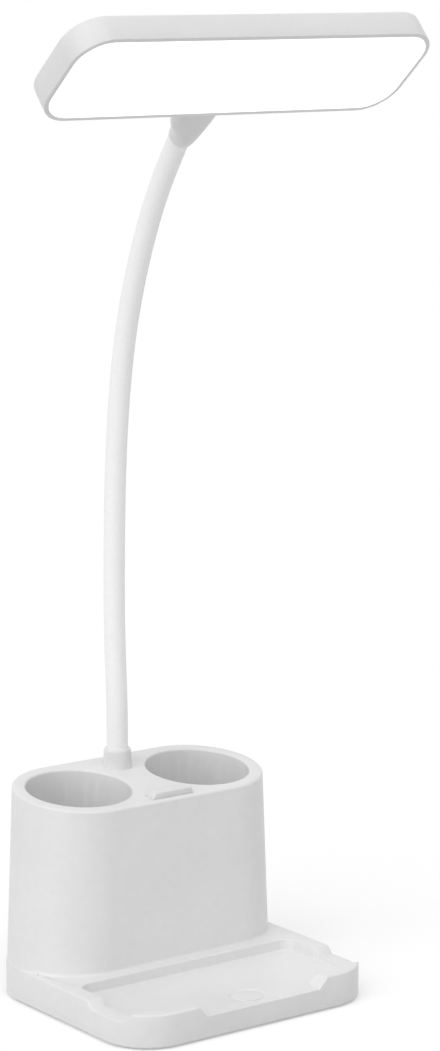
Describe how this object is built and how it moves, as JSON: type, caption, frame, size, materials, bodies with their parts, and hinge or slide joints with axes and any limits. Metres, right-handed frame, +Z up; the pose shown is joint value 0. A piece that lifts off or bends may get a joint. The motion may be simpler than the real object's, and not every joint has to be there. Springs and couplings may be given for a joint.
{
  "type": "desk lamp",
  "caption": "Desk lamp with a flat rectangular lit head on a bending sleeved neck, and a base with pen cups and a notched phone tray in front",
  "frame": {"origin": "on the desk, under the middle of the whole lamp's footprint", "axes": "+Z up, -Y towards the user and the open front of the tray, +X to the user's right"},
  "size_m": [0.18, 0.1254, 0.4265],
  "materials": {
    "white_plastic": "satin moulded white plastic",
    "tray_plastic": "satin moulded plastic",
    "rubber_pad": "matte rubber",
    "steel_screw": "zinc-plated",
    "steel_plate": "bare rolled steel",
    "cell_wrap": "shrink wrap",
    "circuit_green": "solder mask",
    "circuit_white": "white solder mask",
    "socket_steel": "satin",
    "key_plastic": "satin moulded white plastic",
    "switch_plastic": "moulded black plastic",
    "wire_sleeve": "extruded insulation",
    "diffuser_plastic": "milky diffusing plastic, lit",
    "led_package": "phosphor package",
    "core_steel": "wound steel",
    "sleeve_silicone": "smooth white silicone"
  },
  "bodies": {
    "base": {"base_shell": "white_plastic", "base_cover": "tray_plastic", "rubber_feet": "rubber_pad", "cover_screws": "steel_screw", "counterweight": "steel_plate", "battery_cell": "cell_wrap", "battery_strap": "tray_plastic", "strap_screws": "steel_screw", "control_board": "circuit_green", "board_screws": "steel_screw", "charge_socket": "socket_steel", "switch_body": "switch_plastic", "switch_board": "circuit_green", "switch_screws": "steel_screw", "neck_collar": "white_plastic", "collar_washer": "steel_screw", "collar_nut": "steel_screw", "neck_wire": "wire_sleeve", "neck_core_0": "core_steel", "neck_sleeve_0": "sleeve_silicone"},
    "key": {"power_key": "key_plastic", "switch_plunger": "switch_plastic"},
    "neck_1": {"neck_core_1": "core_steel", "neck_sleeve_1": "sleeve_silicone"},
    "neck_2": {"neck_core_2": "core_steel", "neck_sleeve_2": "sleeve_silicone"},
    "neck_3": {"neck_core_3": "core_steel", "neck_sleeve_3": "sleeve_silicone"},
    "neck_4": {"neck_core_4": "core_steel", "neck_sleeve_4": "sleeve_silicone"},
    "neck_5": {"neck_core_5": "core_steel", "neck_sleeve_5": "sleeve_silicone"},
    "neck_6": {"neck_core_6": "core_steel", "neck_sleeve_6": "sleeve_silicone"},
    "neck_7": {"neck_core_7": "core_steel", "neck_sleeve_7": "sleeve_silicone"},
    "neck_8": {"neck_core_8": "core_steel", "neck_sleeve_8": "sleeve_silicone"},
    "neck_9": {"neck_core_9": "core_steel", "neck_sleeve_9": "sleeve_silicone"},
    "head": {"neck_core_10": "core_steel", "neck_sleeve_10": "sleeve_silicone", "head_shell": "white_plastic", "diffuser": "diffuser_plastic", "led_board": "circuit_white", "leds": "led_package", "led_board_screws": "steel_screw", "neck_ferrule": "steel_screw", "ferrule_nut": "steel_screw"}
  },
  "joints": [
    {"name": "neck_bend_1", "type": "hinge", "parent": "base", "child": "neck_1", "pos_m": [0, 0.04922, 0.1225], "axis": [1, 0, 0], "range_deg": [-15, 15], "deforming": ["neck_wire"]},
    {"name": "neck_sway_2", "type": "hinge", "parent": "neck_1", "child": "neck_2", "pos_m": [0, 0.05081, 0.14845], "axis": [0, 0.9994, -0.0349], "range_deg": [-15, 15]},
    {"name": "neck_bend_3", "type": "hinge", "parent": "neck_2", "child": "neck_3", "pos_m": [0, 0.05104, 0.17445], "axis": [1, 0, 0], "range_deg": [-15, 15]},
    {"name": "neck_sway_4", "type": "hinge", "parent": "neck_3", "child": "neck_4", "pos_m": [0, 0.05059, 0.20045], "axis": [0, 0.9996, 0.0288], "range_deg": [-15, 15]},
    {"name": "neck_bend_5", "type": "hinge", "parent": "neck_4", "child": "neck_5", "pos_m": [0, 0.04954, 0.22643], "axis": [1, 0, 0], "range_deg": [-15, 15]},
    {"name": "neck_sway_6", "type": "hinge", "parent": "neck_5", "child": "neck_6", "pos_m": [0, 0.04728, 0.25233], "axis": [0, 0.9931, 0.1175], "range_deg": [-15, 15]},
    {"name": "neck_bend_7", "type": "hinge", "parent": "neck_6", "child": "neck_7", "pos_m": [0, 0.04343, 0.27804], "axis": [1, 0, 0], "range_deg": [-15, 15]},
    {"name": "neck_sway_8", "type": "hinge", "parent": "neck_7", "child": "neck_8", "pos_m": [0, 0.03701, 0.30324], "axis": [0, 0.9548, 0.2974], "range_deg": [-15, 15]},
    {"name": "neck_bend_9", "type": "hinge", "parent": "neck_8", "child": "neck_9", "pos_m": [0, 0.02799, 0.32762], "axis": [1, 0, 0], "range_deg": [-15, 15]},
    {"name": "neck_sway_10", "type": "hinge", "parent": "neck_9", "child": "head", "pos_m": [0, 0.01659, 0.35099], "axis": [0, 0.866, 0.5], "range_deg": [-15, 15]},
    {"name": "key_press", "type": "slide", "parent": "base", "child": "key", "axis": [0, 0.1115, -0.9938], "range_m": [0, 0.001], "stiffness_N_per_m": 500, "springref_m": -0.0004}
  ],
  "couplings": [
    {"joint": "neck_bend_3", "follows": "neck_bend_1", "ratio": 1},
    {"joint": "neck_sway_4", "follows": "neck_sway_2", "ratio": 1},
    {"joint": "neck_bend_5", "follows": "neck_bend_1", "ratio": 1},
    {"joint": "neck_sway_6", "follows": "neck_sway_2", "ratio": 1},
    {"joint": "neck_bend_7", "follows": "neck_bend_1", "ratio": 1},
    {"joint": "neck_sway_8", "follows": "neck_sway_2", "ratio": 1},
    {"joint": "neck_bend_9", "follows": "neck_bend_1", "ratio": 1},
    {"joint": "neck_sway_10", "follows": "neck_sway_2", "ratio": 1}
  ]
}
